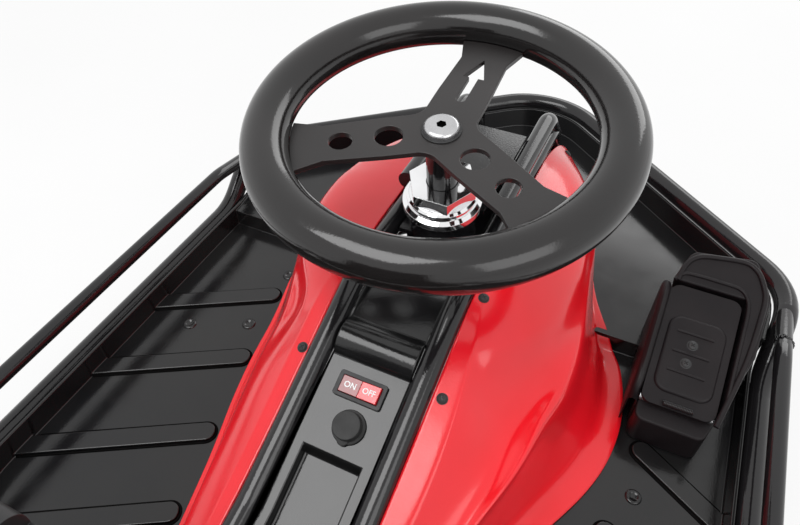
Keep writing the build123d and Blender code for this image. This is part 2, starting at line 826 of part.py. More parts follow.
for direction in (-1, 1):
    wheel_middle = (
        direction * kingpin_x,
        caster_foot_y - caster_trail * math.cos(tilt),
        caster_r,
    )

    with BuildPart() as housing:
        with BuildSketch(caster_plane(direction, housing_bottom)):
            Circle(housing_r)
        extrude(amount=housing_length)
        with BuildSketch(caster_plane(direction, housing_bottom)):
            Circle(kingpin_r + running_gap)
        extrude(amount=stem_top - housing_bottom + 1, mode=Mode.SUBTRACT)
        split(bisect_by=Plane.XY.offset(deck_top - deck_sheet - seat_gap), keep=Keep.BOTTOM)
    write(housing.part, "kingpin_housing_" + side(direction))

    caster_crown_width = 2 * (caster_leg_inside + caster_leg)
    with BuildPart() as caster_fork:
        with BuildSketch(caster_plane(direction, caster_crown_bottom)):
            with Locations((0, -caster_crown_back)):
                RectangleRounded(caster_crown_width, caster_crown_length, caster_crown_corner)
        extrude(amount=caster_crown)
        with BuildSketch(caster_plane(direction, caster_crown_bottom)):
            Circle(kingpin_r)
        extrude(amount=stem_top - caster_crown_bottom)
        for hand in (-1, 1):
            leg_x = direction * kingpin_x + hand * caster_leg_inside
            leg_plane = Plane(
                origin=(leg_x, caster_foot_y, caster_foot_z),
                x_dir=(0, math.cos(tilt), -math.sin(tilt)),
                z_dir=(1, 0, 0),
            )
            with BuildSketch(leg_plane):
                with BuildLine():
                    Polyline(
                        (-21, caster_crown_bottom + caster_crown),
                        (9, caster_crown_bottom + caster_crown),
                        (-caster_trail + caster_eye_r, 0),
                        (-caster_trail - caster_eye_r, 0),
                        close=True,
                    )
                make_face()
                with Locations((-caster_trail, 0)):
                    Circle(caster_eye_r)
                    Circle(caster_axle_r + seat_gap, mode=Mode.SUBTRACT)
            extrude(amount=hand * caster_leg)
    write(caster_fork.part, "caster_fork_" + side(direction))

    caster_reach = caster_leg_inside + caster_leg + seat_gap
    with BuildPart() as caster_axle:
        start = (wheel_middle[0] - caster_reach, wheel_middle[1], wheel_middle[2])
        with BuildSketch(Plane(origin=start, z_dir=(1, 0, 0))):
            Circle(caster_axle_r)
        extrude(amount=2 * caster_reach)
        for hand in (-1, 1):
            end = (wheel_middle[0] + hand * caster_reach, wheel_middle[1], wheel_middle[2])
            with BuildSketch(Plane(origin=end, z_dir=(1, 0, 0))):
                RegularPolygon(caster_nut_r, 6)
            extrude(amount=hand * caster_nut)
    write(caster_axle.part, "caster_axle_" + side(direction))

    with BuildPart() as caster_tyre:
        with BuildSketch(Plane(origin=wheel_middle, x_dir=(0, 0, 1), z_dir=(0, 1, 0))):
            with BuildLine():
                half_width = caster_width / 2
                Polyline(
                    (caster_rim_r, -half_width),
                    (caster_r - 5, -half_width),
                    (caster_r, -half_width + 5),
                    (caster_r, half_width - 5),
                    (caster_r - 5, half_width),
                    (caster_rim_r, half_width),
                    close=True,
                )
            make_face()
        revolve(axis=Axis(wheel_middle, (1, 0, 0)))
    write(caster_tyre.part, "caster_tyre_" + side(direction))

    with BuildPart() as caster_hub:
        hub_half = caster_width / 2 + 0.5
        start = (wheel_middle[0] - hub_half, wheel_middle[1], wheel_middle[2])
        web_start = (wheel_middle[0] - 3, wheel_middle[1], wheel_middle[2])
        with BuildSketch(Plane(origin=start, z_dir=(1, 0, 0))):
            Circle(caster_rim_r)
            Circle(caster_rim_r - 4, mode=Mode.SUBTRACT)
            Circle(10)
        extrude(amount=2 * hub_half)
        with BuildSketch(Plane(origin=web_start, z_dir=(1, 0, 0))):
            Circle(caster_rim_r - 2)
        extrude(amount=6)
        with BuildSketch(Plane(origin=start, z_dir=(1, 0, 0))):
            Circle(caster_axle_r + running_gap)
        extrude(amount=2 * hub_half, mode=Mode.SUBTRACT)
    write(caster_hub.part, "caster_hub_" + side(direction))

# Seat: a moulded bucket on two rails
seat_back_top = 372
seat_rail = 24
seat_rail_x = 90
seat_rail_length = 110
seat_rail_behind = 425        # rails' middle behind the hub
rail_bottom = deck_top + seat_gap
rail_top = seat_base_z - seat_gap
for direction in (-1, 1):
    with BuildPart() as seat_mount:
        with BuildSketch(Plane.XY.offset(rail_bottom)):
            with Locations((direction * seat_rail_x, hub_y - seat_rail_behind)):
                Rectangle(seat_rail, seat_rail_length)
        extrude(amount=rail_top - rail_bottom)
    write(seat_mount.part, "seat_mount_" + side(direction))

seat_wing = 22
seat_depth = 201
seat_lean = 44                # back's top behind its foot
seat_back = seat_back_top - seat_base_z
# columns: behind the seat's front edge, above its base, bend radius
seat_side = [
    (0, 0, 14),
    (seat_depth, 0, 24),
    (seat_depth + seat_lean, seat_back, 12),
    (seat_depth + seat_lean - 30, seat_back, 12),
    (seat_depth - 34, 68, 50),
    (0, 30, 14),
]
seat_inside = [
    (-60, seat_wall + 12, 6),
    (seat_depth - 12, seat_wall, 30),
    (seat_depth + seat_lean - 2, seat_back + 40, 6),
    (-60, seat_back + 40, 6),
]


def seat_sketch(points, x):
    """A side outline of the seat on the plane at one x."""
    with BuildSketch(Plane.YZ.offset(x)) as outline:
        with BuildLine():
            FilletPolyline(
                *[(hub_y - seat_front - behind, seat_base_z + z) for behind, z, bend in points],
                radius=[bend for behind, z, bend in points],
                close=True,
            )
        make_face()
    return outline.sketch


with BuildPart() as seat:
    extrude(seat_sketch(seat_side, -seat_half), amount=2 * seat_half)
    extrude(
        seat_sketch(seat_inside, -seat_half + seat_wing),
        amount=2 * (seat_half - seat_wing),
        mode=Mode.SUBTRACT,
    )
write(seat.part, "seat")

# Battery under the deck, one closed block
battery_gap = 19              # battery behind the deck's front flange
battery_behind = deck_front + deck_sheet + battery_gap + battery_length / 2
with BuildPart() as battery:
    with BuildSketch(Plane.XY.offset(deck_top - deck_sheet - seat_gap)):
        with Locations((0, hub_y - battery_behind)):
            RectangleRounded(battery_width, battery_length, 4)
    extrude(amount=-battery_height)
write(battery.part, "battery")

# Throttle pedal in its moulded pocket
pedal_x = 203
pedal_width = 54
pedal_sheet = 5
pedal_corner = 8
pedal_heel = (hub_y - 8, 86)
pedal_toe = (hub_y + 90, 120)
pedal_hinge_r = 3.5
pedal_hinge_up = 6            # hinge above the heel, along the pedal
pedal_angle = math.atan2(pedal_toe[1] - pedal_heel[1], pedal_toe[0] - pedal_heel[0])
pedal_length = math.dist(pedal_heel, pedal_toe)
pedal_plane = Plane(
    origin=(pedal_x, *pedal_heel),
    x_dir=(1, 0, 0),
    z_dir=(0, -math.sin(pedal_angle), math.cos(pedal_angle)),
)
pocket_rise = 7               # pocket's rim above the underside of the pedal
pocket_room = 3               # gap round the pedal
pocket_corner = 8
foot_back = -16.5             # ahead of the floor's first rib
# columns: x, ahead of the hub
pocket_outline = [
    (176, foot_back),
    (174, 88),
    (184, 119),
    (233, 127),
    (249, 98),
    (247, 48),
    (228, foot_back),
]
with BuildPart() as pedal_pocket:
    with BuildSketch(Plane.XY.offset(pan_rear_z + seat_gap)) as pocket_sketch:
        with BuildLine():
            Polyline(*[(x, hub_y + ahead) for x, ahead in pocket_outline], close=True)
        make_face()
        fillet(pocket_sketch.vertices(), pocket_corner)
    extrude(amount=2 * (pedal_toe[1] - pan_rear_z))
    split(bisect_by=pedal_plane.offset(pocket_rise), keep=Keep.BOTTOM)
    extrude(
        pan_part_ahead(pan_step - seat_gap, pan_rear_z),
        amount=pan_front_z - pan_rear_z + seat_gap,
        mode=Mode.SUBTRACT,
    )
    with BuildSketch(pedal_plane.offset(-2 * pedal_hinge_r - 2 * seat_gap)):
        with Locations((0, -pedal_length / 2)):
            Rectangle(pedal_width + 2 * pocket_room, 3 * pedal_length + 2 * pocket_room)
    extrude(amount=pedal_length, mode=Mode.SUBTRACT)
write(pedal_pocket.part, "pedal_pocket")

with BuildPart() as pedal:
    with BuildSketch(pedal_plane):
        with Locations((0, pedal_length / 2)):
            RectangleRounded(pedal_width, pedal_length, pedal_corner)
    extrude(amount=pedal_sheet)
write(pedal.part, "pedal")

hinge_middle = pedal_plane.from_local_coords(
    Vector(0, pedal_hinge_up, -pedal_hinge_r - seat_gap)
)
with BuildPart() as pedal_hinge:
    with BuildSketch(Plane(origin=hinge_middle, z_dir=(1, 0, 0))):
        Circle(pedal_hinge_r)
    extrude(amount=pedal_width / 2, both=True)
write(pedal_hinge.part, "pedal_hinge")

# Console fittings: rocker switch and the rubber cap of the charging socket
panel_high = (ridge_back, panel_z(ridge_back))
panel_low = (pocket_front, panel_z(pocket_front))
panel_slope = math.atan2(panel_high[1] - panel_low[1], panel_high[0] - panel_low[0])


def panel_plane(ahead):
    """The console's sloping panel, with local Y up the slope."""
    drop = (panel_high[0] - ahead) * math.tan(panel_slope)
    return Plane(
        origin=(0, hub_y + ahead, panel_high[1] - drop),
        x_dir=(1, 0, 0),
        z_dir=(0, -math.sin(panel_slope), math.cos(panel_slope)),
    )


rocker_ahead = -126
bezel_size = (35, 17.5)
key_size = (29, 12)
with BuildPart() as rocker_bezel:
    with BuildSketch(panel_plane(rocker_ahead).offset(seat_gap)):
        RectangleRounded(*bezel_size, 2)
    extrude(amount=2.5)
    with BuildSketch(panel_plane(rocker_ahead).offset(1)):
        Rectangle(*key_size)
    extrude(amount=5, mode=Mode.SUBTRACT)
write(rocker_bezel.part, "rocker_bezel")

with BuildPart() as rocker:
    with BuildSketch(panel_plane(rocker_ahead).offset(1 + seat_gap)):
        Rectangle(key_size[0] - 0.6, key_size[1] - 0.6)
    extrude(amount=2.5)
write(rocker.part, "rocker")

cap_ahead = -149
cap_r = 9.5
with BuildPart() as charge_cap:
    with BuildSketch(panel_plane(cap_ahead).offset(seat_gap)):
        with Locations((3, 0)):
            Circle(cap_r + 2)
    extrude(amount=2)
    with BuildSketch(panel_plane(cap_ahead).offset(seat_gap)):
        with Locations((3, 0)):
            Circle(cap_r)
    extrude(amount=9)
write(charge_cap.part, "charge_cap")
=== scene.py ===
import json
import math

import bmesh
import bpy
from mathutils import Matrix, Vector
from mathutils.bvhtree import BVHTree

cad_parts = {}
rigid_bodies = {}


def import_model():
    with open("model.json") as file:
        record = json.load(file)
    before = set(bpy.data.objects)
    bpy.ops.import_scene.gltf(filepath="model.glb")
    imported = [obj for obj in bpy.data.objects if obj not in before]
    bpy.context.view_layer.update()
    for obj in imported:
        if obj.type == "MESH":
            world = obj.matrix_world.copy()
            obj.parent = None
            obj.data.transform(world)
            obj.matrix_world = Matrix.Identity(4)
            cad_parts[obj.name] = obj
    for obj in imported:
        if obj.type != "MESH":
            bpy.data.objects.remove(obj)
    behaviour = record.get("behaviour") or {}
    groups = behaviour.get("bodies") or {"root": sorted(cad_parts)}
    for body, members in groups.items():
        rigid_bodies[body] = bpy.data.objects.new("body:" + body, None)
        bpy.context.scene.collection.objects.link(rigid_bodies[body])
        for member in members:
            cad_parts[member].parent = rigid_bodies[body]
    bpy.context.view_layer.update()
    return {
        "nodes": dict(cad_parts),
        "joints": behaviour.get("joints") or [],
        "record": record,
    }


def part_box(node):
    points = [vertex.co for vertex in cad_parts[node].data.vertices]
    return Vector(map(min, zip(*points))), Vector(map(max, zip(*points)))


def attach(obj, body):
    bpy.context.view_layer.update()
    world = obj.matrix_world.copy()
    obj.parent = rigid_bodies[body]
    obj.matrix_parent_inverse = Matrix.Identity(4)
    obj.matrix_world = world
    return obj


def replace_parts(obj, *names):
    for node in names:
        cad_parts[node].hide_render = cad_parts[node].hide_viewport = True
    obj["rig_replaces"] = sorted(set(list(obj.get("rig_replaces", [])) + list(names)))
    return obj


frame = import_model()
nodes = frame["nodes"]
MM = 0.001


def joint_named(name):
    return next(joint for joint in frame["joints"] if joint["name"] == name)


def linked(name, data):
    """A new object in the scene."""
    piece = bpy.data.objects.new(name, data)
    bpy.context.scene.collection.objects.link(piece)
    return piece


HUB = Vector(joint_named("steer")["pos_m"])
COLUMN_UP = Vector(joint_named("steer")["axis"]).normalized()

# Camera at the photograph's viewing angle
CAMERA_FROM_HUB = Vector((126.9, -331.4, 239.5)) * MM
CAMERA_YAW = math.radians(25.39)
CAMERA_PITCH = math.radians(45.51)
CAMERA_ROLL = math.radians(-0.3)
SENSOR_WIDTH = 36
CAMERA_LENS = 28.98
CAMERA_NEAR = 0.02

camera_data = bpy.data.cameras.new("camera")
camera_data.sensor_width = SENSOR_WIDTH
camera_data.lens = CAMERA_LENS
camera_data.clip_start = CAMERA_NEAR
camera = linked("camera", camera_data)
camera.matrix_world = (
    Matrix.Translation(HUB + CAMERA_FROM_HUB)
    @ Matrix.Rotation(CAMERA_YAW, 4, "Z")
    @ Matrix.Rotation(math.pi / 2 - CAMERA_PITCH, 4, "X")
    @ Matrix.Rotation(CAMERA_ROLL, 4, "Z")
)
bpy.context.scene.camera = camera
bpy.context.scene.view_settings.view_transform = "Standard"


# Materials
class Recipe:
    """A material's node tree with a few short helpers."""

    def __init__(self, name):
        self.material = bpy.data.materials.new(name)
        self.material.use_nodes = True
        self.tree = self.material.node_tree
        self.shader = self.tree.nodes["Principled BSDF"]
        coordinates = self.tree.nodes.new("ShaderNodeTexCoord")
        self.place = coordinates.outputs["Object"]

    def node(self, kind, **inputs):
        made = self.tree.nodes.new(kind)
        for name, value in inputs.items():
            made.inputs[name.replace("_", " ")].default_value = value
        return made

    def link(self, source, target):
        self.tree.links.new(source, target)

    def noise(self, scale, detail=3.0):
        made = self.node("ShaderNodeTexNoise", Scale=scale, Detail=detail)
        self.link(self.place, made.inputs["Vector"])
        return made.outputs["Fac"]

    def spread(self, source, low, high):
        made = self.node("ShaderNodeMapRange", From_Min=0.3, From_Max=0.7, To_Min=low, To_Max=high)
        self.link(source, made.inputs["Value"])
        return made.outputs["Result"]

    def tint(self, source, first, second):
        made = self.tree.nodes.new("ShaderNodeValToRGB")
        made.color_ramp.elements[0].color = (*first, 1)
        made.color_ramp.elements[1].color = (*second, 1)
        made.color_ramp.elements[0].position = 0.35
        made.color_ramp.elements[1].position = 0.65
        self.link(source, made.inputs["Fac"])
        self.link(made.outputs["Color"], self.shader.inputs["Base Color"])

    def bump(self, source, height, strength=1.0):
        made = self.node("ShaderNodeBump", Distance=height, Strength=strength)
        self.link(source, made.inputs["Height"])
        self.link(made.outputs["Normal"], self.shader.inputs["Normal"])

    def set(self, **values):
        for name, value in values.items():
            self.shader.inputs[name.replace("_", " ")].default_value = value


def coated(name, first, second, low, high, coat=0.5, wave=0.00004, grain=700):
    """Gloss paint or moulded plastic: faint cloudiness, uneven gloss and a fine orange peel."""
    recipe = Recipe(name)
    recipe.tint(recipe.noise(14), first, second)
    recipe.link(recipe.spread(recipe.noise(45), low, high), recipe.shader.inputs["Roughness"])
    recipe.bump(recipe.noise(grain, 1.0), wave)
    recipe.set(Coat_Weight=coat, Coat_Roughness=0.06)
    return recipe.material


def grained(name, first, second, low, high, shine=0.5, height=0.00012, grain=1800):
    """Matte moulded plastic or rubber with a fine pebble grain."""
    recipe = Recipe(name)
    recipe.tint(recipe.noise(22), first, second)
    recipe.link(recipe.spread(recipe.noise(90), low, high), recipe.shader.inputs["Roughness"])
    recipe.bump(recipe.noise(grain, 2.0), height)
    recipe.set(Specular_IOR_Level=shine)
    return recipe.material


def plated(name, first, second, low, high, grain=260, height=0.00002):
    """Bright plated or bare metal with faint polishing marks."""
    recipe = Recipe(name)
    recipe.tint(recipe.noise(30), first, second)
    recipe.link(recipe.spread(recipe.noise(grain), low, high), recipe.shader.inputs["Roughness"])
    recipe.bump(recipe.noise(grain, 2.0), height)
    recipe.set(Metallic=1.0)
    return recipe.material


def clear_red(name, first, second, glow):
    """The rocker's tinted key, with a painted glow from emission."""
    recipe = Recipe(name)
    recipe.tint(recipe.noise(160), first, second)
    recipe.link(recipe.spread(recipe.noise(60), 0.12, 0.22), recipe.shader.inputs["Roughness"])
    # Emission strength: a painted glow on the key
    recipe.set(Coat_Weight=0.6, Coat_Roughness=0.05, Emission_Strength=glow)
    recipe.shader.inputs["Emission Color"].default_value = (0.8, 0.02, 0.03, 1)
    return recipe.material


# rows: name, kind, two shades, roughness from and to, then coat, shine or painted glow
MATERIALS = {
    name: make(name, *values)
    for name, make, *values in (
        ("black_paint", coated, (0.008, 0.008, 0.009), (0.012, 0.011, 0.012), 0.08, 0.15, 0.0),
        ("black_moulding", coated, (0.008, 0.008, 0.009), (0.012, 0.012, 0.012), 0.10, 0.18, 0.0),
        ("red_moulding", coated, (0.86, 0.008, 0.016), (0.92, 0.012, 0.024), 0.14, 0.22, 0.25),
        ("rim_grip", coated, (0.010, 0.009, 0.009), (0.014, 0.012, 0.012), 0.10, 0.17, 0.1),
        ("plate_paint", coated, (0.018, 0.016, 0.016), (0.024, 0.021, 0.021), 0.30, 0.40, 0.0),
        ("chrome_plate", plated, (0.80, 0.80, 0.81), (0.90, 0.90, 0.91), 0.03, 0.08),
        ("zinc_steel", plated, (0.50, 0.50, 0.51), (0.60, 0.60, 0.61), 0.22, 0.34),
        ("drive_rubber", grained, (0.016, 0.016, 0.016), (0.024, 0.024, 0.024), 0.6, 0.8),
        ("caster_rubber", grained, (0.018, 0.018, 0.019), (0.028, 0.028, 0.029), 0.45, 0.62),
        ("hub_plastic", grained, (0.022, 0.022, 0.024), (0.032, 0.032, 0.034), 0.42, 0.56),
        ("seat_plastic", grained, (0.014, 0.014, 0.015), (0.022, 0.022, 0.023), 0.38, 0.52),
        ("motor_case", coated, (0.022, 0.022, 0.024), (0.032, 0.032, 0.034), 0.34, 0.46, 0.1),
        ("battery_case", grained, (0.018, 0.018, 0.019), (0.026, 0.026, 0.027), 0.46, 0.6),
        ("pedal_plastic", grained, (0.008, 0.006, 0.007), (0.013, 0.010, 0.011), 0.36, 0.5, 0.22),
        ("rocker_red", clear_red, (0.55, 0.010, 0.020), (0.70, 0.030, 0.040), 0.12),
        # A darker copy of the key's red, with a weaker painted glow: painted shade on the lower ON half
        ("rocker_red_shaded", clear_red, (0.16, 0.002, 0.004), (0.26, 0.004, 0.008), 0.02),
        ("cap_rubber", grained, (0.020, 0.020, 0.020), (0.030, 0.030, 0.030), 0.6, 0.75),
        # Near-black with almost no shine, put where only shade falls: painted shade in the bolt's socket
        # and round the floor's ribs
        ("painted_shade_black", grained, (0.001, 0.001, 0.001), (0.003, 0.003, 0.003), 0.6, 0.8, 0.05),
        ("letter_white", coated, (0.82, 0.82, 0.82), (0.88, 0.88, 0.88), 0.3, 0.4, 0.1),
    )
}


# Mesh helpers
def place(piece, body, slot, *replaced):
    """Join a finished piece to its body, its finish and the nodes that it stands for."""
    piece.data.materials.clear()
    piece.data.materials.append(MATERIALS[slot])
    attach(piece, body)
    if replaced:
        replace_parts(piece, *replaced)
    return piece


def mesh_object(name, verts, faces):
    mesh = bpy.data.meshes.new(name)
    mesh.from_pydata([tuple(v) for v in verts], [], faces)
    mesh.update()
    return linked(name, mesh)


def smooth_all(mesh):
    for face in mesh.polygons:
        face.use_smooth = True


def thickened(piece, thickness, offset):
    """A sheet given its wall."""
    wall = piece.modifiers.new("wall", "SOLIDIFY")
    wall.thickness = thickness
    wall.offset = offset


def smooth_by_angle(mesh, degrees):
    """Smooth shading with sharp edges where faces meet at more than the angle."""
    work = bmesh.new()
    work.from_mesh(mesh)
    for face in work.faces:
        face.smooth = True
    limit = math.radians(degrees)
    for edge in work.edges:
        edge.smooth = len(edge.link_faces) == 2 and edge.calc_face_angle(0) < limit
    work.to_mesh(mesh)
    work.free()


WELD_DISTANCE = 2e-6
FLAT_DEGREES = 0.6


def softened(node, width, slot, body, segments=2, angle=32):
    """A CAD node with its sharp edges broken, as a moulding or a deburred plate has them."""
    piece = nodes[node].copy()
    piece.data = nodes[node].data.copy()
    piece.name = node + "_finished"
    piece.parent = None
    for key in list(piece.keys()):
        del piece[key]
    bpy.context.scene.collection.objects.link(piece)
    work = bmesh.new()
    work.from_mesh(piece.data)
    bmesh.ops.remove_doubles(work, verts=work.verts, dist=WELD_DISTANCE)
    bmesh.ops.dissolve_limit(
        work, angle_limit=math.radians(FLAT_DEGREES), verts=work.verts, edges=work.edges
    )
    work.to_mesh(piece.data)
    work.free()
    own_normals = piece.data.attributes.get("custom_normal")
    if own_normals:
        piece.data.attributes.remove(own_normals)
    bevel = piece.modifiers.new("edge", "BEVEL")
    bevel.width = width
    bevel.segments = segments
    bevel.limit_method = "ANGLE"
    bevel.angle_limit = math.radians(angle)
    bevel.harden_normals = True
    smooth_by_angle(piece.data, angle)
    return place(piece, body, slot, node)


def in_mm(rows):
    return [(radius * MM, height * MM) for radius, height in rows]


def ring_faces(rows, ring):
    """Faces between closed rings of points, a ring to a row."""
    faces = []
    for row in range(rows - 1):
        for step in range(ring):
            following = (step + 1) % ring
            low, high = row * ring, (row + 1) * ring
            faces.append((low + step, low + following, high + following, high + step))
    return faces


def turned(name, profile, origin, axis, steps=72, start=None):
    """A lathe-turned mesh: profile rows are (radius, distance along the axis)."""
    up = Vector(axis).normalized()
    side = up.orthogonal().normalized() if start is None else Vector(start).normalized()
    other = up.cross(side)
    verts = []
    for radius, height in profile:
        for step in range(steps):
            turn = 2 * math.pi * step / steps
            spoke = side * math.cos(turn) + other * math.sin(turn)
            verts.append(Vector(origin) + up * height + spoke * radius)
    return mesh_object(name, verts, ring_faces(len(profile), steps))


def grid_faces(rows, columns, flip):
    faces = []
    for row in range(rows - 1):
        for column in range(columns - 1):
            here = row * columns + column
            face = (here, here + 1, here + columns + 1, here + columns)
            faces.append(face[::-1] if flip else face)
    return faces


def mesh_of(holder):
    """The finished mesh of a curve or a text, whose object is removed."""
    bpy.context.view_layer.update()
    evaluated = holder.evaluated_get(bpy.context.evaluated_depsgraph_get())
    mesh = bpy.data.meshes.new_from_object(evaluated)
    bpy.data.objects.remove(holder)
    return mesh


def rod(name, points, radius, resolution=8):
    """A round rod along points, as a bevelled curve turned into a mesh."""
    curve = bpy.data.curves.new(name, "CURVE")
    curve.dimensions = "3D"
    curve.bevel_depth = radius
    curve.bevel_resolution = resolution
    curve.use_fill_caps = True
    spline = curve.splines.new("POLY")
    spline.points.add(len(points) - 1)
    for point, target in zip(spline.points, points):
        point.co = (*target, 1)
    mesh = mesh_of(linked(name + "_curve", curve))
    smooth_all(mesh)
    return linked(name, mesh)


def flowing(points, steps=8):
    """A smooth line through every one of the points."""
    line = []
    for index in range(len(points) - 1):
        before = points[max(index - 1, 0)]
        here, following = points[index], points[index + 1]
        after = points[min(index + 2, len(points) - 1)]
        for step in range(steps):
            share = step / steps
            line.append(0.5 * (
                2 * here
                + (following - before) * share
                + (2 * before - 5 * here + 4 * following - after) * share ** 2
                + (3 * here - before - 3 * following + after) * share ** 3
            ))
    return line + [points[-1]]


def joined(name, pieces):
    """Several mesh objects as one."""
    work = bmesh.new()
    for piece in pieces:
        mesh = piece.data.copy()
        mesh.transform(piece.matrix_world)
        work.from_mesh(mesh)
        bpy.data.meshes.remove(mesh)
        bpy.data.objects.remove(piece)
    mesh = bpy.data.meshes.new(name)
    work.to_mesh(mesh)
    work.free()
    return linked(name, mesh)


def ahead_of_hub(x, ahead, z):
    """A point from millimetres across, ahead of the hub and above the floor."""
    return Vector((x * MM, HUB.y + ahead * MM, z * MM))


# Steering wheel
RIM_RADIUS = 114.5 * MM
RIM_SECTION = 15.5 * MM
RIM_RISE = 6.4 * MM
RIM_STEPS = 160
SECTION_STEPS = 40
ROUND_DEGREES = 60
rim_profile = [
    (RIM_RADIUS + RIM_SECTION * math.cos(turn), RIM_SECTION * math.sin(turn))
    for turn in (2 * math.pi * step / SECTION_STEPS for step in range(SECTION_STEPS + 1))
]
rim_middle = HUB + COLUMN_UP * RIM_RISE
rim = turned("steering_rim_finished", rim_profile[::-1], rim_middle, COLUMN_UP, RIM_STEPS)
smooth_by_angle(rim.data, ROUND_DEGREES)
place(rim, "steering", "rim_grip", "steering_rim")
softened("steering_plate", 0.7 * MM, "plate_paint", "steering", segments=3)
softened("head_nut", 0.5 * MM, "chrome_plate", "steering")

# Washer of the wheel's bolt, and a near-black hexagon cup in its socket as painted shade
# rows of a profile: radius, distance along the axis
PLATE_HALF = 2 * MM
WASHER_PROFILE = [(4.2, 0), (4.2, 1.2), (13.1, 1.2), (13.5, 0.8), (13.5, 0)]
washer = turned("bolt_washer", in_mm(WASHER_PROFILE)[::-1], HUB + COLUMN_UP * PLATE_HALF, COLUMN_UP)
smooth_by_angle(washer.data, degrees=35)
place(washer, "steering", "battery_case")
SOCKET_FLOOR = 4.1 * MM
SOCKET_PROFILE = [(0.05, 0), (3.4, 0), (3.4, 2.7)]
socket_foot = HUB + COLUMN_UP * SOCKET_FLOOR
socket = turned("bolt_socket", in_mm(SOCKET_PROFILE), socket_foot, COLUMN_UP, steps=6, start=(1, 0, 0))
place(socket, "steering", "painted_shade_black")

# Red hoods: one moulded shell each side
# columns: ahead of the hub, inner z, then x and z of the strip, dome, lip, corner and crest,
# then x of the wall's foot and of the flange
HOOD_RIGHT = [
    (204, 150, 52, 146, 57, 140, 62, 132, 67, 122, 71, 112, 78, 82),
    (150, 178, 53, 174, 66, 171, 80, 160, 88, 146, 94, 134, 102, 106),
    (100, 182, 53, 181, 72, 179, 97, 163, 103, 150, 108, 140, 115, 120),
    (64.6, 183, 53, 182.5, 75, 180, 103.5, 159.5, 108, 147, 112.3, 138.6, 129, 142),
    (62, 183, 53, 182.5, 75, 180, 103.5, 159.5, 108, 147, 112.3, 138.6, 133, 148),
    (50, 183, 53, 182.7, 76, 180, 106, 158, 110, 146, 114, 138, 140.6, 159),
    (20, 183, 54, 182.7, 78, 178, 107, 158, 113, 145, 119, 137, 148.4, 168),
    (-10, 183, 54, 182, 78, 177, 106, 160, 115, 143, 124, 135, 151.6, 172.5),
    (-40, 181, 54, 180, 74, 175, 97, 163, 108, 140, 125, 134, 149.7, 170.6),
    (-62, 177, 57, 176, 68, 172, 81, 166, 99, 130, 123, 132, 143.8, 165.5),
    (-80, 170, 60, 169, 65, 167, 70, 164, 96, 125, 118, 131, 137, 159),
    (-95, 163, 62, 162, 70, 152, 80, 137, 97, 122, 116, 129, 130, 152.4),
    (-130, 149, 65, 147, 76, 138, 88, 127, 100, 120, 112, 127, 115, 134.6),
    (-170, 132, 65, 130, 73, 122, 82, 114, 90, 110, 96, 114, 98, 110.8),
    (-230, 111, 60, 108, 66, 103, 73, 98, 79, 95, 83, 96, 84, 89),
    (-300, 95, 56, 92, 59, 89, 62, 86.5, 65, 84.3, 67, 83, 69, 73),
]
HOOD_LEFT = [
    (204, 150, 52, 146, 57, 140, 62, 132, 67, 122, 71, 112, 76, 80),
    (150, 178, 53, 174, 68, 171, 84, 160, 90, 146, 97, 134, 106, 110),
    (100, 182, 53, 181, 74, 179, 103, 168, 108, 152, 116, 138, 132, 136),
    (64.6, 183, 53, 182.5, 78.3, 180.5, 109.5, 170, 115.2, 152, 123.2, 138, 140.6, 144.6),
    (62, 183, 53, 182.5, 78.3, 180.5, 109.5, 170, 115.2, 152, 123.2, 138, 151, 155),
    (50, 183, 53, 182.7, 80, 181, 112, 171, 118, 152, 126, 138, 158.6, 162.6),
    (20, 183, 54, 182.7, 80, 181, 112, 171, 118, 150, 126, 136, 155.8, 159.8),
    (-10, 183, 54, 182, 78, 179, 108, 168, 113, 148, 119, 136, 147.3, 151.3),
    (-40, 181, 54, 180, 74, 175, 97, 161, 102, 148, 106, 140, 140.3, 144.3),
    (-62, 177, 56, 176, 64, 173, 78, 163, 86, 143, 97, 135, 137.2, 141.2),
    (-80, 170, 58, 168, 64, 163, 70, 157, 78, 140, 95, 127, 134.2, 138.2),
    (-95, 163, 58, 162, 66, 153, 74, 145, 83, 134, 95, 123, 131.3, 135.3),
    (-130, 149, 58, 147, 66, 141, 76, 133, 86, 124, 93, 114, 122.9, 126.9),
    (-170, 132, 57, 130, 64, 125, 72, 119, 80, 112, 86, 106, 109.8, 113.8),
    (-230, 111, 56, 108, 62, 104, 68, 100, 74, 96, 79, 92, 96.5, 100.5),
    (-300, 95, 54, 92, 57, 90, 60, 87.5, 63, 84.5, 66, 82, 78.9, 82.9),
]
# The nose floor is higher ahead of the riser
RISER = 64
HOOD_INNER = 46.3
HOOD_FOOT = 46.3
HOOD_NOSE_FOOT = 64.3
HOOD_THICK = 2.4
HOOD_SEAT_GAP = 0.4
# Where the wall bends, as shares of its way from foot to crest
WALL_BEND_X = 0.35
WALL_BEND_Z = 0.30
# Crease of the lines that run along the hood, by column of its section
CREASES = {1: 0.55, 3: 0.25, 5: 0.45, 7: 0.35, 8: 0.9}


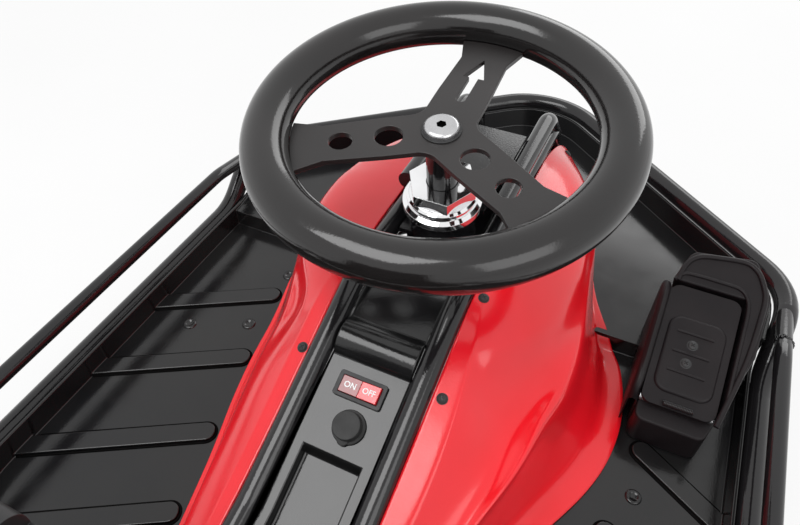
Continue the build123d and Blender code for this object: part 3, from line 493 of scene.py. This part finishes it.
def hood(name, stations, direction, node):
    verts = []
    for ahead, inner_z, *rest in stations:
        section = [(HOOD_INNER, inner_z)]
        section += list(zip(rest[0:10:2], rest[1:10:2]))
        wall, flange = rest[10:]
        crest_x, crest_z = section[-1]
        foot_top = (HOOD_NOSE_FOOT if ahead > RISER else HOOD_FOOT) + HOOD_THICK + HOOD_SEAT_GAP
        section.append(
            (wall + WALL_BEND_X * (crest_x - wall), foot_top + WALL_BEND_Z * (crest_z - foot_top))
        )
        section.append((wall, foot_top))
        section.append((flange, foot_top))
        verts += [ahead_of_hub(direction * x, ahead, z) for x, z in section]
    columns = len(verts) // len(stations)
    faces = grid_faces(len(stations), columns, direction > 0)
    piece = mesh_object(name, verts, faces)
    crease = piece.data.attributes.new("crease_edge", "FLOAT", "EDGE")
    for index, edge in enumerate(piece.data.edges):
        first, second = edge.vertices
        if abs(first - second) == columns:
            crease.data[index].value = CREASES.get(first % columns, 0.0)
    smooth_all(piece.data)
    subdivide = piece.modifiers.new("smooth", "SUBSURF")
    subdivide.levels = 3
    subdivide.render_levels = 3
    thickened(piece, thickness=HOOD_THICK * MM, offset=-1)
    return place(piece, "chassis", "red_moulding", node)


shell_right = hood("hood_right_shell", HOOD_RIGHT, 1, "hood_right")
shell_left = hood("hood_left_shell", HOOD_LEFT, -1, "hood_left")

# Mouldings and plates with their edges broken
for node, width, slot, body in (
    ("console", 1.6, "black_moulding", "chassis"),
    ("floor_pan", 1.0, "black_moulding", "chassis"),
    ("pedal_pocket", 2.0, "pedal_plastic", "chassis"),
    ("head_tube", 0.6, "black_paint", "chassis"),
    ("deck", 0.6, "black_paint", "chassis"),
    ("rocker_bezel", 0.4, "battery_case", "chassis"),
    ("charge_cap", 0.8, "cap_rubber", "chassis"),
    ("battery", 2.0, "battery_case", "chassis"),
    ("seat", 3.0, "seat_plastic", "chassis"),
    ("fork", 0.7, "black_paint", "steering"),
    ("motor", 0.8, "motor_case", "steering"),
    ("chain_guard", 1.5, "hub_plastic", "steering"),
    ("drive_hub", 0.8, "hub_plastic", "drive_wheel"),
):
    softened(node, width * MM, slot, body)


# Small details on the mouldings
def landing(piece, x, ahead, from_z=400):
    """The point and the slope of a piece's surface below a place, seen from above."""
    bpy.context.view_layer.update()
    tree = BVHTree.FromObject(piece, bpy.context.evaluated_depsgraph_get())
    point, normal, _, _ = tree.ray_cast(ahead_of_hub(x, ahead, from_z), Vector((0, 0, -1)))
    return point, normal if normal.z > 0 else -normal


def lying_box(name, middle, across, up, length, width, height):
    """A small bar with softened edges, its underside on a surface."""
    across = Vector(across).normalized()
    up = Vector(up).normalized()
    along = up.cross(across)
    rows = []
    for inset, rise in ((0, 0), (0, 0.55 * height), (0.35 * height, height)):
        for end, flank in ((-1, -1), (1, -1), (1, 1), (-1, 1)):
            rows.append(
                Vector(middle)
                + across * end * (length / 2 - inset)
                + along * flank * (width / 2 - inset)
                + up * rise
            )
    return mesh_object(name, rows, [(0, 3, 2, 1), (8, 9, 10, 11)] + ring_faces(3, 4))


def cross_screw(name, point, normal, radius, slot, body="chassis"):
    """A pan-head screw seated on a surface, its cross recess shown as raised bars of a darker black:
    painted shade.
    """
    point = Vector(point)
    up = Vector(normal).normalized()
    head = turned(
        name + "_head",
        [
            (radius * 1.25, -0.4 * MM),
            (radius * 1.25, 0.3 * MM),
            (radius * 1.02, 0.5 * MM),
            (radius, 1.1 * MM),
            (radius * 0.8, 1.7 * MM),
            (radius * 0.4, 2.0 * MM),
            (0.02 * MM, 2.05 * MM),
        ][::-1],
        point,
        up,
        steps=36,
    )
    smooth_by_angle(head.data, degrees=40)
    place(head, body, slot)
    first = up.orthogonal()
    top = point + up * 1.9 * MM
    bars = [
        lying_box(name + "_bar", top, across, up, radius * 1.05, radius * 0.26, 0.3 * MM)
        for across in (first, up.cross(first))
    ]
    # Darker raised bars: painted shade of the cross recess
    place(joined(name + "_recess_shade", bars), body, "black_moulding")


HOOD_SCREW = 3.1 * MM
# columns: name, shell, across, ahead of the hub
for name, shell, x, ahead in (
    ("screw_right_upper", shell_right, 53, -41),
    ("screw_right_lower", shell_right, 53, -113),
    ("screw_left", shell_left, -51, -115),
    ("screw_nose", shell_right, 56, 190),
):
    point, normal = landing(shell, x, ahead)
    cross_screw(name, point, normal, HOOD_SCREW, "cap_rubber")

# Moulded bosses on the floor: a low ring round a dished middle
BOSS_PROFILE = [(6.4, -0.3), (6.2, 0.2), (5.4, 1.3), (4.4, 1.5), (3.4, 1.1), (2.4, 0.3), (0.05, 0.2)]
pan_piece = bpy.data.objects["floor_pan_finished"]
# columns: name, across, ahead of the hub
for name, x, ahead in (
    ("boss_left_outer", -214, -71),
    ("boss_left_inner", -164, -48),
    ("boss_left_front", -163, 21),
    ("boss_right", 193, -65),
):
    point, normal = landing(pan_piece, x, ahead)
    boss = turned(name, in_mm(BOSS_PROFILE)[::-1], point, normal, steps=40)
    smooth_by_angle(boss.data, degrees=50)
    place(boss, "chassis", "black_moulding")

# Painted shade round the floor's ribs: thin near-black rods where the grooves are, in to where the floor's
# edge begins to rise
# columns: side, inner end x, where the rib crosses RIB_X ahead of the hub
RIBS = [
    (-1, 157, -20),
    (-1, 141, -103),
    (-1, 124, -187),
    (-1, 108, -262),
    (1, 185, -20),
    (1, 173, -103),
    (1, 136, -187),
    (1, 109, -262),
]
RIB_OUTER = 270
RIB_ANGLE = math.radians(30)
RIB_X = 183
RIB_HALF = 8
FLOOR_Z = 46
FLOOR_EDGE_RISE = 4
GROOVE_FLANK = RIB_HALF + 0.9
GROOVE_RADIUS = 1.1
GROOVE_LIFT = 0.1
SIDE_STEPS = 24
END_STEPS = 12
floor_tree = BVHTree.FromObject(pan_piece, bpy.context.evaluated_depsgraph_get())


def rib_painted_shade(name, direction, inner, ahead):
    middle = (inner + RIB_OUTER) / 2
    half = (RIB_OUTER - inner) / math.cos(RIB_ANGLE) / 2 - RIB_HALF
    centre_y = ahead - (middle - RIB_X) * math.tan(RIB_ANGLE)
    along_x, along_y = math.cos(RIB_ANGLE), -math.sin(RIB_ANGLE)
    side = [half - 2 * step * half / SIDE_STEPS for step in range(SIDE_STEPS + 1)]
    outline = [(reach, -GROOVE_FLANK) for reach in side]
    for step in range(1, END_STEPS):
        turn = math.radians(270 - 180 * step / END_STEPS)
        outline.append((-half + GROOVE_FLANK * math.cos(turn), GROOVE_FLANK * math.sin(turn)))
    outline += [(reach, GROOVE_FLANK) for reach in side[::-1]]
    line = []
    for reach, flank in outline:
        x = middle + reach * along_x - flank * along_y
        y = centre_y + reach * along_y + flank * along_x
        point = ahead_of_hub(direction * x, y, FLOOR_Z + GROOVE_LIFT)
        under = floor_tree.ray_cast(point + Vector((0, 0, 0.3)), Vector((0, 0, -1)))[0]
        if under is not None and under.z < (FLOOR_Z + FLOOR_EDGE_RISE) * MM:
            line.append(point)
    place(rod(name, line, GROOVE_RADIUS * MM, resolution=3), "chassis", "painted_shade_black")


for number, rib in enumerate(RIBS):
    rib_painted_shade("rib_painted_shade_" + str(number), *rib)

# Weld bead round the right bumper, a ring of small overlapping ripples
BUMPER_RADIUS = 6.35 * MM
top, rise = landing(nodes["side_bumper_right"], x=267.5, ahead=83)
bead_middle = top - rise * BUMPER_RADIUS
bead_along = rise.cross(Vector((1, 0, 0))).normalized()
RIPPLE_PROFILE = [(0.1, -1.3), (1.1, -0.9), (1.6, 0), (1.1, 0.9), (0.1, 1.3)]
RIPPLES = 22
RIPPLE_SWAY = 0.9 * MM
RIPPLE_TURN = 2.4
BEAD_RADIUS = BUMPER_RADIUS + 0.1 * MM
bead_rings = []
for step in range(RIPPLES):
    turn = 2 * math.pi * step / RIPPLES
    out = Vector((math.cos(turn), 0, 0)) + rise * math.sin(turn)
    sway = bead_along * RIPPLE_SWAY * math.sin(step * RIPPLE_TURN)
    middle = bead_middle + out * BEAD_RADIUS + sway
    bead_rings.append(turned("bead", in_mm(RIPPLE_PROFILE), middle, out, steps=12))
bead = joined("weld_bead", bead_rings)
smooth_by_angle(bead.data, degrees=70)
place(bead, "chassis", "black_paint")

# Pedal: raised pad with ribs and two screws
PEDAL_X = 203
HEEL_AHEAD = -8
HEEL_Z = 86
PEDAL_RUN = 98
PEDAL_CLIMB = 34
PEDAL_HEEL = ahead_of_hub(PEDAL_X, HEEL_AHEAD, HEEL_Z)
PEDAL_ALONG = Vector((0, PEDAL_RUN, PEDAL_CLIMB)).normalized()
PEDAL_UP = Vector((0, -PEDAL_ALONG.z, PEDAL_ALONG.y))
PEDAL_SHEET = 5 * MM


def on_pedal(across, along, rise):
    """A point from millimetres across, along and above the pedal's sheet."""
    foot = PEDAL_HEEL + Vector((across * MM, 0, 0)) + PEDAL_ALONG * along * MM
    return foot + PEDAL_UP * (PEDAL_SHEET + rise * MM)


def pedal_slope(ahead):
    """Height in millimetres of the pedal's slope, ahead of the hub."""
    return HEEL_Z + (ahead - HEEL_AHEAD) * PEDAL_CLIMB / PEDAL_RUN


def rounded_outline(half_width, low, high, corner, steps=7):
    points = []
    for x_sign, end, start in ((1, low, -90), (1, high, 0), (-1, high, 90), (-1, low, 180)):
        centre_x = x_sign * (half_width - corner)
        centre_y = end + corner if end == low else end - corner
        for step in range(steps + 1):
            turn = math.radians(start + 90 * step / steps)
            points.append((centre_x + corner * math.cos(turn), centre_y + corner * math.sin(turn)))
    return points


PAD_HALF = 21.5
PAD_LOW = 12
PAD_HIGH = 77
PAD_CORNER = 10
pad_rows = []
for inset, rise in ((-0.6, -0.4), (0, 0.6), (0.9, 1.5), (2.2, 1.8)):
    corner = PAD_CORNER - inset / 2
    outline = rounded_outline(PAD_HALF - inset, PAD_LOW + inset, PAD_HIGH - inset, corner)
    pad_rows.append([on_pedal(across, along, rise) for across, along in outline])
ring = len(pad_rows[0])
pad_faces = ring_faces(len(pad_rows), ring)
pad_faces.append(tuple((len(pad_rows) - 1) * ring + step for step in range(ring)))
pad = mesh_object("pedal_pad", [point for row in pad_rows for point in row], pad_faces)
smooth_by_angle(pad.data, degrees=35)
place(pad, "chassis", "pedal_plastic")
PEDAL_RIB = 1.1 * MM
RIB_RISE = 1.7
for number, along in enumerate((30, 46.5, 63.5)):
    line = [on_pedal(across, along, RIB_RISE) for across in (-14.5, -7, 0, 7, 13)]
    bar = rod("pedal_rib_" + str(number), line, PEDAL_RIB, resolution=4)
    place(bar, "chassis", "pedal_plastic")
PEDAL_SCREW = 3.4 * MM
SCREW_RISE = 1.6
for number, (across, along) in enumerate(((-1.1, 54.5), (-2.5, 38.5))):
    seat = on_pedal(across, along, SCREW_RISE)
    cross_screw("pedal_screw_" + str(number), seat, PEDAL_UP, PEDAL_SCREW, "battery_case")

# Coil of the pedal's return spring along its heel
COIL_STEPS = 160
COIL_TURN = 0.785
COIL_HALF = 11
COIL_RADIUS = 2
COIL_WIRE = 0.55 * MM
coil = [
    on_pedal(
        -COIL_HALF + 2 * COIL_HALF * step / COIL_STEPS,
        3 + COIL_RADIUS * math.sin(step * COIL_TURN),
        1 + COIL_RADIUS * math.cos(step * COIL_TURN),
    )
    for step in range(COIL_STEPS + 1)
]
place(rod("pedal_spring", coil, COIL_WIRE, resolution=3), "chassis", "black_paint")

# Beads along the pocket's rim: one round the pedal and one along the outside
# columns: across, ahead of the hub
RIM_ABOVE_SLOPE = 7
outer_rim = [
    (231, -12), (235, 8), (239, 28), (242, 48), (244, 75), (244.5, 94), (241, 106), (235, 116),
    (225, 121), (206, 119), (190, 115), (182, 106), (178.5, 90),
]
inner_rim = [
    (234.5, 5), (234.6, 30), (234.7, 60), (234.5, 80), (232, 91), (225, 97.5), (210, 98.5),
    (192, 98.5), (182, 97), (176.5, 90),
]
for name, outline, radius in (
    ("pocket_rim_outer", outer_rim, 2.2),
    ("pocket_rim_inner", inner_rim, 1.6),
):
    curve = [
        ahead_of_hub(x, ahead, pedal_slope(ahead) + RIM_ABOVE_SLOPE / PEDAL_UP.z) for x, ahead in outline
    ]
    bent = rod(name, flowing(curve), radius * MM, resolution=6)
    place(bent, "chassis", "pedal_plastic")

# Tall rounded wall on the inner side of the pocket
# columns: ahead of the hub, top above the pedal's slope, foot
WALL_STATIONS = [
    (-4, -6, 49.8), (-3, 0, 49.8), (0, 4, 49.8), (6, 7, 49.8), (20, 9, 46.8), (38, 9.5, 46.8),
    (60, 9.5, 46.8), (64.4, 9.3, 64.8), (72, 9, 64.8), (84, 7, 64.8), (89, 3, 64.8), (90, -3, 64.8),
]
# columns: across, height from the top
WALL_TOP = [(174.5, -2), (173.4, 0), (171.6, 0.8), (170.0, -0.4), (169.4, -3)]
wall_rows = []
for ahead, swell, foot in WALL_STATIONS:
    top = pedal_slope(ahead) + swell
    section = [(WALL_TOP[0][0], foot)]
    section += [(x, top + rise) for x, rise in WALL_TOP]
    section.append((WALL_TOP[-1][0], foot))
    wall_rows += [ahead_of_hub(x, ahead, z) for x, z in section]
wall_faces = grid_faces(len(WALL_STATIONS), len(WALL_TOP) + 2, False)
wall = mesh_object("pocket_wall_inner", wall_rows, wall_faces)
thickened(wall, thickness=1.2 * MM, offset=-1)
smooth_by_angle(wall.data, degrees=50)
place(wall, "chassis", "pedal_plastic")

# Cheeks of the console, up to the spine tubes beside its raised front
# columns: ahead of the hub, low and high edge
CHEEK = [(-88, 162.5, 165.5), (-75, 166, 170.5), (-62, 168, 175), (-45, 169.5, 177.3), (-29, 171, 177.8)]
for direction, hand in ((-1, "left"), (1, "right")):
    rows = []
    for ahead, low, high in CHEEK:
        for x, z in ((28.2, low), (28.6, 0.5 * (low + high)), (29.4, high)):
            rows.append(ahead_of_hub(direction * x, ahead, z))
    cheek = mesh_object("console_cheek_" + hand, rows, grid_faces(len(CHEEK), 3, direction > 0))
    smooth_all(cheek.data)
    thickened(cheek, thickness=1.0 * MM, offset=0)
    place(cheek, "chassis", "black_moulding")

# Rocker: two halves of the key and its words; the lower ON half takes a darker copy of the key's red as
# painted shade
PANEL_RUN = 155
PANEL_CLIMB = 64
SLOPE = math.atan2(PANEL_CLIMB, PANEL_RUN)
PANEL_UP = Vector((0, -math.sin(SLOPE), math.cos(SLOPE)))
PANEL_ALONG = Vector((0, math.cos(SLOPE), math.sin(SLOPE)))
KEY_REACH = 14.2
KEY_FLANK = 5.7
KEY_THICK = 2.5
KEY_EDGE = 0.35
WORD_SIZE = 5.6
WORD_THICK = 0.12
WORD_BOLD = 0.09
WORD_LIFT = 0.05
key_low, key_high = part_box("rocker")
key_middle = (Vector(key_low) + Vector(key_high)) / 2


def on_key(across, along, rise):
    """A point from millimetres across, along and above the middle of the key's face."""
    foot = key_middle + Vector((across * MM, 0, 0)) + PANEL_ALONG * along * MM
    return foot + PANEL_UP * (KEY_THICK / 2 + rise) * MM


# columns: side, end of the piece's name, word, finish, height of the tip
for side, name, word, slot, tip in (
    (-1, "on", "ON", "rocker_red_shaded", -0.65),
    (1, "off", "OFF", "rocker_red", 1.4),
):
    rows = []
    for middle_rise, tip_rise in ((0, tip), (-KEY_THICK, -KEY_THICK)):
        for across, rise in ((0, middle_rise), (KEY_REACH * side, tip_rise)):
            rows += [on_key(across, along, rise) for along in (-KEY_FLANK, KEY_FLANK)]
    faces = [(0, 1, 3, 2), (4, 6, 7, 5), (0, 4, 5, 1), (2, 3, 7, 6), (0, 2, 6, 4), (1, 5, 7, 3)]
    if side < 0:
        faces = [face[::-1] for face in faces]
    half = mesh_object("rocker_half_" + name, rows, faces)
    edge = half.modifiers.new("edge", "BEVEL")
    edge.width = KEY_EDGE * MM
    edge.segments = 2
    place(half, "chassis", slot, "rocker")
    text = bpy.data.curves.new("word", "FONT")
    text.body = word
    text.size = WORD_SIZE * MM
    text.extrude = WORD_THICK * MM
    text.offset = WORD_BOLD * MM
    text.align_x = "CENTER"
    text.align_y = "CENTER"
    flat = mesh_of(linked("word_curve", text))
    slanted = (Vector((KEY_REACH, 0, 0)) + PANEL_UP * tip * side).normalized()
    face_up = slanted.cross(PANEL_ALONG).normalized()
    turn_in = Matrix((slanted, PANEL_ALONG, face_up)).transposed().to_4x4()
    middle = on_key(KEY_REACH / 2 * side, 0, tip / 2 + WORD_LIFT)
    flat.transform(Matrix.Translation(middle) @ turn_in)
    place(linked("letters_" + name, flat), "chassis", "letter_white")

# Pull tab of the charging socket's rubber cap
cap_low, cap_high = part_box("charge_cap")
cap_middle = (Vector(cap_low) + Vector(cap_high)) / 2
TAB_BEHIND = 9.5 * MM
TAB_BELOW = 2.6 * MM
TAB_PROFILE = [(0.05, 0), (3.4, 0), (4.0, 0.5), (4.0, 1.6), (3.4, 2.1), (0.05, 2.1)]
tab_foot = cap_middle - PANEL_ALONG * TAB_BEHIND - PANEL_UP * TAB_BELOW
tab = turned("cap_tab", in_mm(TAB_PROFILE)[::-1], tab_foot, PANEL_UP, steps=36)
smooth_by_angle(tab.data, degrees=40)
place(tab, "chassis", "cap_rubber")


# Tyres: rounded shoulders, and blocks of tread on the driven one
DRIVE_PROFILE = [
    (52, 15.5), (58, 17.6), (64, 18.6), (69, 18.2), (72, 16.2), (73.3, 13), (73.6, 6), (73.6, 0),
    (73.6, -6), (73.3, -13), (72, -16.2), (69, -18.2), (64, -18.6), (58, -17.6), (52, -15.5),
]
CASTER_PROFILE = [
    (30.2, 13.2), (36, 14), (40.5, 13.2), (43.4, 10.4), (44.6, 6), (45, 0),
    (44.6, -6), (43.4, -10.4), (40.5, -13.2), (36, -14), (30.2, -13.2),
]
TYRE_STEPS = 96


def tyre(joint, profile, body, slot, node):
    """Makes a tyre about its joint and returns its middle."""
    middle = Vector(joint_named(joint)["pos_m"])
    wheel = turned(node + "_finished", in_mm(profile), middle, (1, 0, 0), TYRE_STEPS)
    smooth_by_angle(wheel.data, ROUND_DEGREES)
    place(wheel, body, slot, node)
    return middle


axle = tyre("drive_roll", DRIVE_PROFILE, "drive_wheel", "drive_rubber", "drive_tyre")
TREAD_STEPS = 36
TREAD_RADIUS = 73.2 * MM
TREAD_BLOCK = (8.6 * MM, 8.2 * MM, 1.7 * MM)
blocks = []
for step in range(TREAD_STEPS):
    for row, half_step in ((-10.5, 0.0), (0, 0.5), (10.5, 0.0)):
        turn = 2 * math.pi * (step + half_step) / TREAD_STEPS
        out = Vector((0, math.cos(turn), math.sin(turn)))
        foot = axle + Vector((row * MM, 0, 0)) + out * TREAD_RADIUS
        blocks.append(lying_box("tread", foot, (1, 0, 0), out, *TREAD_BLOCK))
place(joined("drive_tread", blocks), "drive_wheel", "drive_rubber")
for hand in ("left", "right"):
    body = "caster_wheel_" + hand
    tyre("caster_roll_" + hand, CASTER_PROFILE, body, "caster_rubber", "caster_tyre_" + hand)

# Nodes whose shape is right keep it and take a finish
replaced = {
    name
    for piece in bpy.context.scene.objects
    for name in piece.get("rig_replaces", [])
}
for part in frame["record"]["subparts"]:
    name = part["node"]
    if name in replaced:
        continue
    shape = nodes[name]
    if not shape.material_slots:
        shape.data.materials.append(MATERIALS[part["material_slot"]])
    for holder in shape.material_slots:
        holder.material = MATERIALS[part["material_slot"]]


# Floor, backdrop and soft studio light
FLOOR_HALF = 6.0
FLOOR_GLOW = 0.8
ROOM_GLOW = 0.55
BACKDROP_GLOW = 1.0


def seen_or_mirrored(tree):
    """One for camera rays and glossy rays, nought for the others."""
    rays = tree.nodes.new("ShaderNodeLightPath")
    either = tree.nodes.new("ShaderNodeMath")
    either.operation = "MAXIMUM"
    tree.links.new(rays.outputs["Is Camera Ray"], either.inputs[0])
    tree.links.new(rays.outputs["Is Glossy Ray"], either.inputs[1])
    return either.outputs[0]


def studio():
    corners = [Vector((x * FLOOR_HALF, y * FLOOR_HALF, 0)) for x, y in ((-1, -1), (1, -1), (1, 1), (-1, 1))]
    floor = mesh_object("floor", corners, [(0, 1, 2, 3)])
    recipe = Recipe("floor_white")
    recipe.tint(recipe.noise(3), (0.86, 0.86, 0.86), (0.90, 0.90, 0.90))
    recipe.set(Roughness=0.9)
    share = recipe.node("ShaderNodeMath")
    share.operation = "MULTIPLY"
    share.inputs[1].default_value = FLOOR_GLOW
    recipe.link(seen_or_mirrored(recipe.tree), share.inputs[0])
    glow = recipe.node("ShaderNodeEmission", Strength=1.0)
    glow.inputs["Color"].default_value = (1, 1, 1, 1)
    mixed = recipe.tree.nodes.new("ShaderNodeMixShader")
    recipe.link(share.outputs[0], mixed.inputs["Fac"])
    recipe.link(recipe.shader.outputs["BSDF"], mixed.inputs[1])
    recipe.link(glow.outputs["Emission"], mixed.inputs[2])
    recipe.link(mixed.outputs["Shader"], recipe.tree.nodes["Material Output"].inputs["Surface"])
    floor.data.materials.append(recipe.material)

    world = bpy.data.worlds.new("studio")
    bpy.context.scene.world = world
    world.use_nodes = True
    tree = world.node_tree
    backdrop = tree.nodes["Background"]
    backdrop.inputs["Color"].default_value = (1, 1, 1, 1)
    reach = tree.nodes.new("ShaderNodeMapRange")
    reach.inputs["To Min"].default_value = ROOM_GLOW
    reach.inputs["To Max"].default_value = BACKDROP_GLOW
    tree.links.new(seen_or_mirrored(tree), reach.inputs["Value"])
    tree.links.new(reach.outputs["Result"], backdrop.inputs["Strength"])

    # columns: name, place, aim, width, height, watts
    for name, spot, aim, width, height, watts in (
        ("key", (-0.42, -0.72, 1.7), (0, -0.05, 0.1), 1.2, 0.9, 17),
        ("fill", (1.5, -0.9, 1.3), (0, 0, 0.1), 1.2, 1.2, 9),
        ("back", (0.3, 2.0, 1.1), (0, 0.1, 0.1), 1.6, 0.8, 10),
    ):
        light = bpy.data.lights.new(name, "AREA")
        light.shape = "RECTANGLE"
        light.size = width
        light.size_y = height
        light.energy = watts
        lamp = linked(name, light)
        lamp.location = spot
        direction = Vector(aim) - Vector(spot)
        lamp.rotation_euler = direction.to_track_quat("-Z", "Y").to_euler()


studio()
